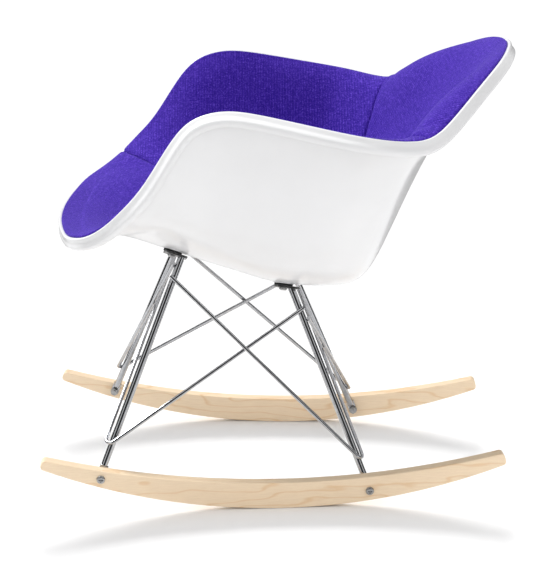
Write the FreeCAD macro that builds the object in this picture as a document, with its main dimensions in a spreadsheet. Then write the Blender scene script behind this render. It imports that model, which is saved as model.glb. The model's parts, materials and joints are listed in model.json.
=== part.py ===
"""Rocking armchair: a moulded bucket shell with a sewn liner on a braced wire base and two runners.

Frame: +X is the sitter's left, -Y is the front, +Z is up.  The origin is on the floor, under the
middle of the chair's length and width.  All lengths are in millimetres.  The sub-parts are laid
out round the point midway between the places where the runners touch the floor, and keep() then
moves each of them along Y to the origin.
"""
import FreeCAD, Part
import Sketcher
import math
import os

from FreeCAD import Placement, Rotation, Vector

DIMENSIONS = {
    # from the middle of the chair's length to where the runners touch the floor
    "touch_point_y": 2.42,
    # runners
    "rocker_radius": 918.0,
    "rocker_top_radius": 1380.0,
    "rocker_height": 38.0,
    "rocker_width": 20.0,
    "rocker_half_track": 194.3,
    "rocker_toe": 2.914,
    "rocker_front_low": 346.5,
    "rocker_front_high": 340.0,
    "rocker_rear_low": 320.0,
    "rocker_rear_high": 315.0,
    "rocker_end_round": 6.0,
    "rocker_edge_round": 1.6,
    "rocker_bore": 6.4,
    # where the runners are screwed to the legs
    "front_foot_y": -259.6,
    "front_foot_z": 50.5,
    "rear_foot_y": 122.4,
    "rear_foot_z": 23.0,
    # leg tops
    "front_top_x": 95.0,
    "front_top_y": -146.0,
    "front_top_z": 337.0,
    "rear_top_x": 86.0,
    "rear_top_y": 15.0,
    "rear_top_z": 290.0,
    "leg_diameter": 10.0,
    "strap_width": 12.0,
    "strap_thickness": 4.5,
    "strap_length": 14.0,
    "brace_diameter": 5.5,
    "brace_bend_radius": 8.2,
    # seat mounts
    "front_mount_x": 85.2,
    "front_mount_y": -152.5,
    "front_mount_z": 345.3,
    "front_mount_tilt": -18.6,
    "front_mount_roll": 18.0,
    "rear_mount_x": 79.1,
    "rear_mount_y": 7.5,
    "rear_mount_z": 294.6,
    "rear_mount_tilt": -7.7,
    "rear_mount_roll": 16.5,
    "plate_length": 34.0,
    "plate_width": 34.0,
    "plate_offset": 5.0,
    "plate_thickness": 3.0,
    "plate_corner": 4.0,
    "spacer_diameter": 27.0,
    "spacer_thickness": 3.0,
    "boss_diameter": 29.0,
    "insert_diameter": 9.0,
    "insert_length": 4.0,
    # screws, nuts and washers, size M6
    "thread_diameter": 6.0,
    "head_diameter": 12.0,
    "head_height": 3.8,
    "recess_width": 1.5,
    "recess_span": 6.5,
    "recess_depth": 2.4,
    "nut_across_corners": 11.5,
    "nut_height": 5.0,
    "washer_diameter": 12.5,
    "washer_thickness": 1.4,
    "thread_clearance": 0.1,
    # shell and liner
    "shell_thickness": 5.0,
    "floor_height": 277.0,
    "floor_slope": 0.37,
    "floor_turn_y": 0.0,
    "floor_turn_width": 30.0,
    "floor_rise": 0.12,
    "floor_rise_y": 50.0,
    "floor_cross_radius": 260.0,
    "foam_thickness": 6.0,
    "cover_thickness": 2.6,
    "rim_pinch": 3.4,
    "layer_gap": 0.35,
    "seam_param": 0.006,
}

SIDES = {"left": 1.0, "right": -1.0}
ENDS = ("front", "rear")
ALONG_X = Vector(1, 0, 0)
ALONG_Y = Vector(0, 1, 0)
ALONG_Z = Vector(0, 0, 1)

doc = FreeCAD.newDocument("RockingArmchair")
sheet = doc.addObject("Spreadsheet::Sheet", "Dimensions")
for row, (alias, value) in enumerate(DIMENSIONS.items(), start=1):
    sheet.set(f"A{row}", alias)
    sheet.set(f"B{row}", str(value))
    sheet.setAlias(f"B{row}", alias)
doc.recompute()

parts = []


def dim(alias):
    """One driving dimension, read from the sheet."""
    return float(sheet.get(alias))


def bind(obj, **expressions):
    """Bind properties of a document object to formulas over the sheet's aliases."""
    for prop, formula in expressions.items():
        obj.setExpression(prop, formula)
    return obj


def cell(alias):
    """The sheet cell of a dimension, for use in a formula."""
    return "Dimensions." + alias


def keep(obj, label, placement=Placement()):
    """Place a finished sub-part in the chair's frame and register it under the name of its node."""
    obj.Label = label
    obj.Placement = Placement(Vector(0, dim("touch_point_y"), 0), Rotation()) * placement
    parts.append(obj)


def primitive(kind, name, placement=None, **expressions):
    obj = bind(doc.addObject("Part::" + kind, name), **expressions)
    if placement is not None:
        obj.Placement = placement
    return obj


def cut(name, base, tool):
    obj = doc.addObject("Part::Cut", name)
    obj.Base = base
    obj.Tool = tool
    return obj


def fuse(name, pieces):
    obj = doc.addObject("Part::MultiFuse", name)
    obj.Shapes = pieces
    return obj


def axis_placement(origin, axis):
    """Placement whose local Z runs along the axis."""
    return Placement(origin, Rotation(ALONG_Z, axis))


def origin_plane(body, role):
    for feature in body.Origin.OriginFeatures:
        if feature.Role == role:
            return feature
    raise RuntimeError("no plane " + role)


def new_sketch(body, name, role):
    sketch = body.newObject("Sketcher::SketchObject", name)
    sketch.AttachmentSupport = (origin_plane(body, role), [""])
    sketch.MapMode = "FlatFace"
    return sketch


def add_circle(sketch, name, centre, diameter, diameter_cell, x_formula=None, y_formula=None):
    """Circle whose diameter, and centre if given, follow the sheet."""
    index = sketch.addGeometry(Part.Circle(centre, ALONG_Z, diameter / 2), False)

    constraint = sketch.addConstraint(Sketcher.Constraint("Diameter", index, diameter))
    sketch.renameConstraint(constraint, name + "_diameter")
    sketch.setExpression(f"Constraints.{name}_diameter", cell(diameter_cell))
    for kind, suffix, formula, value in (
        ("DistanceX", "x", x_formula, centre.x),
        ("DistanceY", "y", y_formula, centre.y),
    ):
        if formula is None:
            continue
        constraint = sketch.addConstraint(Sketcher.Constraint(kind, -1, 1, index, 3, value))
        sketch.renameConstraint(constraint, f"{name}_{suffix}")
        sketch.setExpression(f"Constraints.{name}_{suffix}", formula)


# ---------------------------------------------------------------- runners

def arc_from_below(radius, centre_height, start, end):
    """Upward-opening arc centred above the origin, between two values of the sketch's X."""
    circle = Part.Circle(Vector(0, centre_height, 0), ALONG_Z, radius)
    first = math.atan2(-math.sqrt(radius**2 - start**2), start)
    last = math.atan2(-math.sqrt(radius**2 - end**2), end)
    return Part.ArcOfCircle(circle, first, last)


def point_on_arc(radius, centre_height, along):
    return Vector(along, centre_height - math.sqrt(radius**2 - along**2), 0)


def rocker_profile(sketch):
    """Side outline of a runner: two shallow arcs closed by two slightly raked ends."""
    low_radius = dim("rocker_radius")
    top_radius = dim("rocker_top_radius")
    top_centre = dim("rocker_height") + top_radius
    ends = {
        "front_low": -dim("rocker_front_low"),
        "rear_low": dim("rocker_rear_low"),
        "front_high": -dim("rocker_front_high"),
        "rear_high": dim("rocker_rear_high"),
    }
    low_arc = arc_from_below(low_radius, low_radius, ends["front_low"], ends["rear_low"])
    top_arc = arc_from_below(top_radius, top_centre, ends["front_high"], ends["rear_high"])
    low = sketch.addGeometry(low_arc, False)
    top = sketch.addGeometry(top_arc, False)
    front = sketch.addGeometry(Part.LineSegment(
        point_on_arc(low_radius, low_radius, ends["front_low"]),
        point_on_arc(top_radius, top_centre, ends["front_high"])), False)
    rear = sketch.addGeometry(Part.LineSegment(
        point_on_arc(low_radius, low_radius, ends["rear_low"]),
        point_on_arc(top_radius, top_centre, ends["rear_high"])), False)
    join = Sketcher.Constraint
    for first, first_end, second, second_end in (
        (front, 1, low, 1), (front, 2, top, 1), (rear, 1, low, 2), (rear, 2, top, 2),
    ):
        sketch.addConstraint(join("Coincident", first, first_end, second, second_end))
    named = (
        ("low_radius", join("Radius", low, low_radius), cell("rocker_radius")),
        ("low_centre_y", join("DistanceY", -1, 1, low, 3, low_radius), cell("rocker_radius")),
        ("low_centre_x", join("DistanceX", -1, 1, low, 3, 0), None),
        ("top_radius", join("Radius", top, top_radius), cell("rocker_top_radius")),
        ("top_centre_y", join("DistanceY", -1, 1, top, 3, top_centre),
         f"{cell('rocker_height')} + {cell('rocker_top_radius')}"),
        ("top_centre_x", join("DistanceX", -1, 1, top, 3, 0), None),
        ("front_low", join("DistanceX", low, 1, -1, 1, -ends["front_low"]), cell("rocker_front_low")),
        ("rear_low", join("DistanceX", -1, 1, low, 2, ends["rear_low"]), cell("rocker_rear_low")),
        ("front_high", join("DistanceX", top, 1, -1, 1, -ends["front_high"]), cell("rocker_front_high")),
        ("rear_high", join("DistanceX", -1, 1, top, 2, ends["rear_high"]), cell("rocker_rear_high")),
    )
    for name, constraint, formula in named:
        index = sketch.addConstraint(constraint)
        sketch.renameConstraint(index, name)
        if formula is not None:
            sketch.setExpression("Constraints." + name, formula)


def edge_names(shape, wanted):
    return [f"Edge{i}" for i, edge in enumerate(shape.Edges, start=1) if wanted(edge)]


def runs_across(edge):
    """True for a straight edge across the runner's width."""
    if edge.Curve.TypeId != "Part::GeomLine":
        return False
    return abs(edge.Curve.Direction.x) > 0.99


def make_rocker(side):
    body = doc.addObject("PartDesign::Body", f"Rocker_{side}")
    outline = new_sketch(body, f"RockerOutline_{side}", "YZ_Plane")
    rocker_profile(outline)
    pad = body.newObject("PartDesign::Pad", f"RockerPad_{side}")
    pad.Profile = outline
    pad.SideType = "Symmetric"
    bind(pad, Length=cell("rocker_width"))
    doc.recompute()
    ends = body.newObject("PartDesign::Fillet", f"RockerEnds_{side}")
    ends.Base = (pad, edge_names(pad.Shape, runs_across))
    bind(ends, Radius=cell("rocker_end_round"))
    doc.recompute()
    eased = body.newObject("PartDesign::Fillet", f"RockerEased_{side}")
    eased.Base = (ends, edge_names(ends.Shape, lambda edge: not runs_across(edge)))
    bind(eased, Radius=cell("rocker_edge_round"))
    bores = new_sketch(body, f"RockerBores_{side}", "YZ_Plane")
    for end in ENDS:
        centre = Vector(dim(end + "_foot_y"), dim(end + "_foot_z"), 0)
        add_circle(bores, end, centre, dim("rocker_bore"), "rocker_bore",
                   cell(end + "_foot_y"), cell(end + "_foot_z"))
    pocket = body.newObject("PartDesign::Pocket", f"RockerBore_{side}")
    pocket.Profile = bores
    pocket.Type = "ThroughAll"
    pocket.SideType = "Symmetric"
    doc.recompute()
    keep(body, "rocker_" + side, rocker_frame(side))


def rocker_frame(side):
    """Local frame of a runner: its length runs along local Y and local X is its width."""
    sign = SIDES[side]
    turn = Rotation(ALONG_Z, sign * dim("rocker_toe"))
    return Placement(Vector(sign * dim("rocker_half_track"), 0, 0), turn)


def on_rocker(side, end, outward):
    """Point on the axis of a runner's bore, measured outwards from the runner's middle."""
    local = Vector(SIDES[side] * outward, dim(end + "_foot_y"), dim(end + "_foot_z"))
    return rocker_frame(side).multVec(local)


def outward_axis(side):
    return rocker_frame(side).Rotation.multVec(ALONG_X * SIDES[side])


# ---------------------------------------------------------------- fasteners

def pan_screw(name, shank_formula):
    """Pan-head screw with a cross recess; the head's seat is at local Z = 0, the head above it."""
    shank = primitive("Cylinder", name + "_shank", Radius=cell("thread_diameter") + " / 2",
                      Height=shank_formula)
    shank.setExpression("Placement.Base.z", "-(" + shank_formula + ")")
    disc = primitive("Cylinder", name + "_disc", Radius=cell("head_diameter") + " / 2",
                     Height=cell("head_height"))
    doc.recompute()
    domed = doc.addObject("Part::Fillet", name + "_dome")
    domed.Base = disc
    top_edge = max(range(len(disc.Shape.Edges)), key=lambda i: disc.Shape.Edges[i].CenterOfMass.z)
    round_off = 0.7 * dim("head_height")
    domed.Edges = [(top_edge + 1, round_off, round_off)]
    bars = []
    for bar_name, length_alias, width_alias in (("a", "recess_span", "recess_width"),
                                                ("b", "recess_width", "recess_span")):
        bar = primitive("Box", f"{name}_recess_{bar_name}", Length=cell(length_alias),
                        Width=cell(width_alias), Height=cell("recess_depth"))
        bar.setExpression("Placement.Base.x", f"-{cell(length_alias)} / 2")
        bar.setExpression("Placement.Base.y", f"-{cell(width_alias)} / 2")
        bar.setExpression("Placement.Base.z", f"{cell('head_height')} - {cell('recess_depth')}")
        bars.append(bar)
    recess = fuse(name + "_recess", bars)
    head = cut(name + "_head", domed, recess)
    return fuse(name, [head, shank])


def ring(name, outer_formula, height_formula, bore_formula):
    outer = primitive("Cylinder", name + "_outer", Radius=outer_formula, Height=height_formula)
    bore = primitive("Cylinder", name + "_bore", Radius=bore_formula, Height=height_formula)
    return cut(name, outer, bore)


def hex_nut(name):
    prism = primitive("Prism", name + "_prism", Circumradius=cell("nut_across_corners") + " / 2",
                      Height=cell("nut_height"))
    prism.Polygon = 6
    bore = primitive("Cylinder", name + "_bore", Height=cell("nut_height"),
                     Radius=f"{cell('thread_diameter')} / 2 + {cell('thread_clearance')}")
    return cut(name, prism, bore)


def make_rocker_fasteners(side, end):
    """Screw in from the outside; strap, washer and nut on the inside face of the runner."""
    half = dim("rocker_width") / 2
    strap_face = half + dim("strap_thickness")
    washer_face = strap_face + dim("washer_thickness")
    outward = outward_axis(side)
    tail = "_".join((end, side))
    grip = " + ".join((cell("rocker_width"), cell("strap_thickness"), cell("washer_thickness"),
                       cell("nut_height"), "2"))
    screw = pan_screw("RockerScrew_" + tail, grip)
    keep(screw, "rocker_screw_" + tail, axis_placement(on_rocker(side, end, half), outward))
    washer = ring("RockerWasher_" + tail, cell("washer_diameter") + " / 2", cell("washer_thickness"),
                  f"{cell('thread_diameter')} / 2 + {cell('thread_clearance')}")
    keep(washer, "rocker_washer_" + tail, axis_placement(on_rocker(side, end, -strap_face), -outward))
    nut = hex_nut("RockerNut_" + tail)
    keep(nut, "rocker_nut_" + tail, axis_placement(on_rocker(side, end, -washer_face), -outward))


# ---------------------------------------------------------------- legs and braces

def leg_top(side, end):
    return Vector(SIDES[side] * dim(end + "_top_x"), dim(end + "_top_y"), dim(end + "_top_z"))


def leg_foot(side, end):
    """Start of the rod's axis: welded to the strap's inner side, just above the nut."""
    inboard = dim("strap_thickness") + 0.25 * dim("leg_diameter")
    return strap_frame(side, end).multVec(Vector(0, 0.85 * dim("strap_length"), inboard))


def make_leg(side, end):
    """Straight rod, mitred under the mount plate, with a drilled flat strap at its foot."""
    tail = "_".join((end, side))
    foot = leg_foot(side, end)
    top = leg_top(side, end)
    rod = primitive("Cylinder", "LegRod_" + tail, axis_placement(foot, top - foot),
                    Radius=cell("leg_diameter") + " / 2")
    rod.Height = (top - foot).Length + dim("leg_diameter")
    rounded = primitive("Sphere", "LegEnd_" + tail, Placement(foot, Rotation()),
                        Radius=cell("leg_diameter") + " / 2")
    plate = mount_frame(side, end)
    corner = Vector(-dim("plate_width"), -dim("plate_length"), -dim("plate_thickness"))
    above = primitive("Box", "LegTrim_" + tail, Placement(plate.multVec(corner), plate.Rotation),
                      Length="2 * " + cell("plate_width"), Width="2 * " + cell("plate_length"),
                      Height=cell("plate_width"))
    frame = strap_frame(side, end)
    eye = primitive("Cylinder", "LegEye_" + tail, frame, Radius=cell("strap_width") + " / 2",
                    Height=cell("strap_thickness"))
    half_width = Vector(-dim("strap_width") / 2, 0, 0)
    strap = primitive("Box", "LegStrap_" + tail, Placement(frame.multVec(half_width), frame.Rotation),
                      Length=cell("strap_width"), Width=cell("strap_length"),
                      Height=cell("strap_thickness"))
    bore = primitive("Cylinder", "LegBore_" + tail, frame, Height=cell("strap_thickness"),
                     Radius=cell("rocker_bore") + " / 2")
    mitred = cut("LegMitred_" + tail, rod, above)
    joined = fuse("LegJoined_" + tail, [mitred, rounded, eye, strap])
    leg = cut("Leg_" + tail, joined, bore)
    keep(leg, "leg_" + tail)


def strap_frame(side, end):
    """Local frame of a strap: Z points inboard from the runner's inner face and Y up along the leg."""
    inboard = -outward_axis(side)
    hole = on_rocker(side, end, -dim("rocker_width") / 2)
    climb = leg_top(side, end) - hole
    climb = (climb - inboard * climb.dot(inboard)).normalize()
    return Placement(hole, Rotation(climb.cross(inboard), climb, inboard, "ZXY"))


def on_leg(side, end, height):
    """Point on a leg's axis at a height above the floor."""
    foot = leg_foot(side, end)
    top = leg_top(side, end)
    return foot + (top - foot) * ((height - foot.z) / (top.z - foot.z))


def beside_leg(side, end, height, start, towards, offset):
    """Wire end laid against a leg: offset from the leg's axis, square to both leg and wire."""
    centre = on_leg(side, end, height)
    along = (leg_top(side, end) - leg_foot(side, end)).normalize()
    normal = along.cross(centre - start).normalize()
    if normal.dot(towards) < 0:
        normal = -normal
    return centre + normal * offset


def make_brace(side, end, vertex_height, side_height, cross_height, laps_over):
    """V-shaped wire: it hooks round the foot of one leg and its arms reach both neighbouring legs.

    The arms that cross between a pair of legs differ: one laps over the far leg and runs past it,
    and the other is butted against the far leg's inner side.
    """
    sign = SIDES[side]
    opposite_side = "right" if side == "left" else "left"
    opposite_end = "rear" if end == "front" else "front"
    outboard = Vector(sign, 0, 0)
    endways = Vector(0, -1, 0) if end == "front" else Vector(0, 1, 0)
    hook_gap = 0.6
    touch = (dim("leg_diameter") + dim("brace_diameter")) / 2 + 0.02
    overrun = 1.2 * dim("brace_diameter")
    hook = on_leg(side, end, vertex_height)
    side_end = beside_leg(side, opposite_end, side_height, hook, outboard, touch)
    cross_offset = touch if laps_over else -0.35 * touch
    cross_end = beside_leg(opposite_side, end, cross_height, hook, endways, cross_offset)
    to_side = (side_end - hook).normalize()
    to_cross = (cross_end - hook).normalize()
    inward = (to_side + to_cross).normalize()
    normal = to_side.cross(to_cross).normalize()
    bend = dim("brace_bend_radius")
    leg_axis = (leg_top(side, end) - leg_foot(side, end)).normalize()
    sink = touch / abs(leg_axis.dot(normal)) - bend + hook_gap
    centre = hook - inward * sink
    starts = []
    for target, spin in ((side_end, -1), (cross_end, 1)):
        reach = target - centre
        angle = math.acos(bend / reach.Length)
        towards = Rotation(normal, spin * math.degrees(angle)).multVec(reach.normalize())
        starts.append(centre + towards * bend)
    side_tail = side_end + (side_end - starts[0]).normalize() * overrun
    cross_run = overrun if laps_over else -0.65 * dim("leg_diameter")
    cross_tail = cross_end + (cross_end - starts[1]).normalize() * cross_run
    path = Part.Wire([
        Part.LineSegment(side_tail, starts[0]).toShape(),
        Part.Arc(starts[0], centre - inward * bend, starts[1]).toShape(),
        Part.LineSegment(starts[1], cross_tail).toShape(),
    ])
    section = Part.Wire(Part.makeCircle(dim("brace_diameter") / 2, side_tail, starts[0] - side_tail))
    brace = doc.addObject("Part::Feature", "_".join(("Brace", end, side)))
    brace.Shape = path.makePipeShell([section], True, True)
    keep(brace, "_".join(("brace", end, side)))


# ---------------------------------------------------------------- seat mounts

def mount_frame(side, end):
    """Local frame of a mount: Z is square to the shell above it, the origin is the middle of its top."""
    sign = SIDES[side]
    place = Vector(sign * dim(end + "_mount_x"), dim(end + "_mount_y"), dim(end + "_mount_z"))
    tilt = Rotation(ALONG_X, dim(end + "_mount_tilt"))
    roll = Rotation(ALONG_Y, -sign * dim(end + "_mount_roll"))
    return Placement(place, tilt * roll)


def bolt_frame(side, end, climb=0.0):
    """Frame on the mount's bolt axis, which lies ahead of the plate's middle, at a climb above its top."""
    frame = mount_frame(side, end)
    return Placement(frame.multVec(Vector(0, -dim("plate_offset"), climb)), frame.Rotation)


def make_plate(side, end):
    """Steel tab on top of a leg, with a bore for the seat screw."""
    tail = "_".join((end, side))
    body = doc.addObject("PartDesign::Body", "Plate_" + tail)
    outline = new_sketch(body, "PlateOutline_" + tail, "XY_Plane")
    half_width = dim("plate_width") / 2
    half_length = dim("plate_length") / 2
    corners = [Vector(-half_width, -half_length, 0), Vector(half_width, -half_length, 0),
               Vector(half_width, half_length, 0), Vector(-half_width, half_length, 0)]
    for index, corner in enumerate(corners):
        outline.addGeometry(Part.LineSegment(corner, corners[(index + 1) % 4]), False)
    join = Sketcher.Constraint
    for index in range(4):
        outline.addConstraint(join("Coincident", index, 2, (index + 1) % 4, 1))
        outline.addConstraint(join("Horizontal" if index % 2 == 0 else "Vertical", index))
    outline.addConstraint(join("Symmetric", 0, 1, 1, 2, -1, 1))
    for name, constraint in (("width", join("DistanceX", 0, 1, 0, 2, 2 * half_width)),
                             ("length", join("DistanceY", 1, 1, 1, 2, 2 * half_length))):
        index = outline.addConstraint(constraint)
        outline.renameConstraint(index, name)
        outline.setExpression("Constraints." + name, cell("plate_" + name))
    pad = body.newObject("PartDesign::Pad", "PlatePad_" + tail)
    pad.Profile = outline
    pad.Reversed = True
    bind(pad, Length=cell("plate_thickness"))
    doc.recompute()
    rounded = body.newObject("PartDesign::Fillet", "PlateCorners_" + tail)
    rounded.Base = (pad, edge_names(pad.Shape, runs_upright))
    bind(rounded, Radius=cell("plate_corner"))
    bore = new_sketch(body, "PlateBore_" + tail, "XY_Plane")
    add_circle(bore, "bore", Vector(0, -dim("plate_offset"), 0), dim("rocker_bore"), "rocker_bore",
               None, "-" + cell("plate_offset"))
    pocket = body.newObject("PartDesign::Pocket", "PlateHole_" + tail)
    pocket.Profile = bore
    pocket.Type = "ThroughAll"
    pocket.SideType = "Symmetric"
    keep(body, "mount_plate_" + tail, mount_frame(side, end))


def runs_upright(edge):
    return edge.Curve.TypeId == "Part::GeomLine" and abs(edge.Curve.Direction.z) > 0.99


def make_mount_stack(side, end):
    """Rubber spacer above the plate, screw from below, and the threaded insert in the shell's boss."""
    tail = "_".join((end, side))
    spacer = ring("Spacer_" + tail, cell("spacer_diameter") + " / 2", cell("spacer_thickness"),
                  cell("rocker_bore") + " / 2")
    keep(spacer, "shock_spacer_" + tail, bolt_frame(side, end))
    insert = ring("Insert_" + tail, cell("insert_diameter") + " / 2", cell("insert_length"),
                  f"{cell('thread_diameter')} / 2 + {cell('thread_clearance')}")
    keep(insert, "thread_insert_" + tail, bolt_frame(side, end, dim("spacer_thickness")))
    stack = ("plate_thickness", "spacer_thickness", "insert_length")
    reach = " + ".join(cell(name) for name in stack) + " - 1"
    screw = pan_screw("SeatScrew_" + tail, reach)
    seat = bolt_frame(side, end, -dim("plate_thickness"))
    keep(screw, "seat_screw_" + tail, Placement(seat.Base, seat.Rotation * Rotation(ALONG_X, 180)))


# ---------------------------------------------------------------- shell and liner

# Stations round the left half of the rim, from the middle of the front edge to the middle of the
# back.  Each has the rim's X, Y and Z, and the X and Y of the point below it where floor turns
# into wall.
STATIONS = (
    ((0, -318, 393), (0, -228)),
    ((80, -314, 394), (55, -225)),
    ((150, -305, 396.5), (103, -217)),
    ((200, -293, 401), (138, -204)),
    ((240, -270, 411), (163, -186)),
    ((262, -243, 430), (178, -166)),
    ((272, -217, 455), (186, -146)),
    ((272, -188, 489), (191, -125)),
    ((270, -152, 544), (194, -100)),
    ((273, -118, 575), (196, -75)),
    ((279, -75, 585), (198, -45)),
    ((287, -25, 579.5), (199, -15)),
    ((296, 30, 569), (198, 18)),
    ((303, 82, 559), (194, 48)),
    ((299, 122, 551.5), (185, 69)),
    ((282, 157, 545.5), (171, 87)),
    ((262, 190, 546.5), (151, 103)),
    ((232, 222, 566), (124, 115)),
    ((178, 262, 599), (93, 122)),
    ((112, 299, 625), (60, 125)),
    ((54, 318, 637), (28, 127)),
    ((0, 325, 640), (0, 127)),
)
BOWL_CENTRE_Y = -25.0


def soft_ramp(distance, width):
    """Ramp of slope one for positive distances and nought for negative ones, with a rounded start."""
    return (distance + math.hypot(distance, width)) / 2


def floor_z(x, y):
    """Height of the shell's outer underside, lowest a little behind the middle and round in section."""
    width = dim("floor_turn_width")
    slope = dim("floor_slope") * soft_ramp(dim("floor_turn_y") - y, width)
    rise = dim("floor_rise") * soft_ramp(y - dim("floor_rise_y"), width)
    return dim("floor_height") + slope + rise + x * x / 2 / dim("floor_cross_radius")


def mirrored(half):
    """Closed ring of points from the left half, which starts and ends on the middle plane."""
    other = [Vector(-point.x, point.y, point.z) for point in half[-2:0:-1]]
    return list(half) + other


def through(points):
    """Poles of the closed cubic B-spline that passes through the points."""
    count = len(points)
    poles = list(points)
    for _ in range(12):
        poles = [
            poles[i] + points[i] - (poles[i - 1] + poles[i] * 4 + poles[(i + 1) % count]) * (1 / 6)
            for i in range(count)
        ]
    return poles


def blend(first, second, share):
    return first * (1 - share) + second * share


def wall_rings():
    """Rings of the outer surface's poles, from the bowl's centre to the rim."""
    centre = Vector(0, BOWL_CENTRE_Y, floor_z(0, BOWL_CENTRE_Y))
    rings = {name: [] for name in ("inner_floor", "mid_floor", "corner", "low_wall", "high_wall", "rim")}
    for rim, plan in STATIONS:
        edge = Vector(*rim)
        corner = Vector(plan[0], plan[1], floor_z(*plan))
        for name, share in (("inner_floor", 0.3), ("mid_floor", 0.68)):
            x = plan[0] * share
            y = BOWL_CENTRE_Y + (plan[1] - BOWL_CENTRE_Y) * share
            rings[name].append(Vector(x, y, floor_z(x, y)))
        rings["corner"].append(corner)
        # the wall stays upright and flares out towards the rim, most of all behind the back
        outward = Vector(edge.x - corner.x, edge.y - corner.y, 0).normalize()
        steep = max(0.0, (edge.z - corner.z) / (edge - corner).Length) ** 2
        back = max(0.0, outward.y)
        rings["low_wall"].append(blend(corner, edge, 0.34) - outward * steep * (6 + 20 * back))
        rings["high_wall"].append(blend(corner, edge, 0.72) - outward * steep * (10 + 34 * back))
        rings["rim"].append(edge)
    return centre, {name: through(mirrored(half)) for name, half in rings.items()}


# Rings of the bowl's floor and of its wall, from the centre out to the rim.
FLOOR_RINGS = ("inner_floor", "mid_floor", "corner")
WALL_RINGS = ("low_wall", "high_wall")

# Section of the rolled lip: distance outwards from the lining's edge, and height above it.
LIP_SECTION = (
    (3.4, -1.0), (3.2, 3.0), (5.4, 5.0), (8.6, 3.4), (11.6, 1.2), (15.2, 1.0), (19.4, 0.4),
    (21.8, -4.4), (20.8, -10.8), (17.4, -13.6), (14.2, -10.6), (11.8, -5.0), (9.0, -7.6),
)

# Heights, measured from the lining's edge, at which the layers are laid parallel to the rim.
RUN_IN = (-32.0, -20.0, -14.0, -9.0, -5.0)


def ring_normals(inside, ring, outside):
    """Unit vectors at a ring's poles, square to the surface and pointing into the seat."""
    count = len(ring)
    normals = []
    for i in range(count):
        around = ring[(i + 1) % count] - ring[i - 1]
        outwards = outside[i] - inside[i]
        normals.append(outwards.cross(around).normalize())
    return normals


class Bowl:
    """Rings of poles for the bucket's outer face, and offsets of them for every layer inside it."""

    def __init__(self):
        self.centre, rings = wall_rings()
        names = FLOOR_RINGS + WALL_RINGS
        rim = rings["rim"]
        count = len(rim)
        order = [[self.centre] * count] + [rings[name] for name in names] + [rim]
        self.normals = [ring_normals(order[k - 1], order[k], order[min(k + 1, len(order) - 1)])
                        for k in range(1, len(order))]
        self.rim_normals = self.normals[-1]
        self.rim_up = []
        for i in range(count):
            up = rim[i] - order[-2][i]
            normal = self.rim_normals[i]
            self.rim_up.append((up - normal * up.dot(normal)).normalize())
        self.rim = rim
        inset = dim("shell_thickness") + dim("rim_pinch")
        depths = (0, 0, 0, 0.35 * inset, 0.7 * inset)
        self.outer = [[point - normal * depth for point, normal in zip(rings[name], normals)]
                      for name, normals, depth in zip(names, self.normals, depths)]

    def at_centre(self, offset):
        return self.centre + ALONG_Z * offset

    def layer(self, offset):
        """The outer face's rings moved into the seat by an offset."""
        return [[point + normal * offset for point, normal in zip(ring, normals)]
                for ring, normals in zip(self.outer, self.normals)]

    def beside_rim(self, out, up):
        """Ring that follows the rim, at a distance outwards from it and a height above it."""
        return [point - normal * out + rise * up
                for point, normal, rise in zip(self.rim, self.rim_normals, self.rim_up)]


def layer_surface(start, rings, finish=None):
    """Smooth surface that grows from one point and follows the rings, to the last one or a point."""
    ending = [] if finish is None else [finish]
    columns = [[start] + [ring[i] for ring in rings] + ending for i in range(len(rings[0]))]
    degree = 3
    spans = len(columns[0]) - degree
    surface = Part.BSplineSurface()
    surface.buildFromPolesMultsKnots(
        columns, [1] * (len(columns) + 1), [degree + 1] + [1] * (spans - 1) + [degree + 1],
        list(range(len(columns) + 1)), list(range(spans + 1)), True, False, degree, degree)
    return surface


def solid_of(faces):
    """Closed solid from faces that share their borders."""
    shell = Part.makeShell(faces)
    shell.sewShape()
    solid = Part.Solid(shell)
    if solid.Volume < 0:
        solid.reverse()
    return solid


def closed_solid(start, rings, finish):
    """Solid inside the surface from one point, along the rings, to another point; in four sectors."""
    surface = layer_surface(start, rings, finish)
    count = len(rings[0])
    top = surface.getVKnots()[-1]
    sectors = [round(count * quarter / 4) for quarter in range(5)]
    return solid_of([surface.toShape(first, last, 0, top) for first, last in zip(sectors, sectors[1:])])


def shell_face(up):
    """How far outside the rim line the shell's inner face lies, at a height above the rim line."""
    return dim("rim_pinch") + 0.012 * up


def cover_face(up):
    """The same for the cover's visible face, which swells into the seat below the rim."""
    return 0.155 * up


def make_shell(bowl):
    """Moulded bucket: constant wall, rolled lip, and four bosses drilled for the inserts."""
    thickness = dim("shell_thickness")
    inner = bowl.layer(thickness) + [bowl.beside_rim(shell_face(up), up) for up in RUN_IN]
    lip = [bowl.beside_rim(out, up) for out, up in LIP_SECTION]
    outer = [bowl.beside_rim(shell_face(up) + thickness, up) for up in (-16.0, -32.0)]
    outer += bowl.layer(0)[::-1]
    shell = closed_solid(bowl.at_centre(thickness), inner + lip + outer, bowl.at_centre(0))
    room = closed_solid(bowl.at_centre(thickness), inner, Vector(0, BOWL_CENTRE_Y, 2 * bowl.centre.z))
    boss_height = 26.0
    for side in SIDES:
        for end in ENDS:
            frame = bolt_frame(side, end, dim("spacer_thickness"))
            face = frame.Base
            upward = frame.Rotation.multVec(ALONG_Z)
            boss = Part.makeCylinder(dim("boss_diameter") / 2, boss_height, face, upward).cut(room)
            pit = Part.makeCylinder(dim("insert_diameter") / 2 + 0.05, dim("insert_length") + 0.3,
                                    face, upward)
            shell = shell.fuse(boss).cut(pit)
    obj = doc.addObject("Part::Feature", "Shell")
    obj.Shape = shell
    keep(obj, "seat_shell")


# The arm panels' seams follow the stations and rings: the first and last station of the left
# panel, and the level of its lower seam, counted from 0 at the bowl's centre.
PANEL_STATIONS = (5, 16)
PANEL_LEVEL = 2.25


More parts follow.
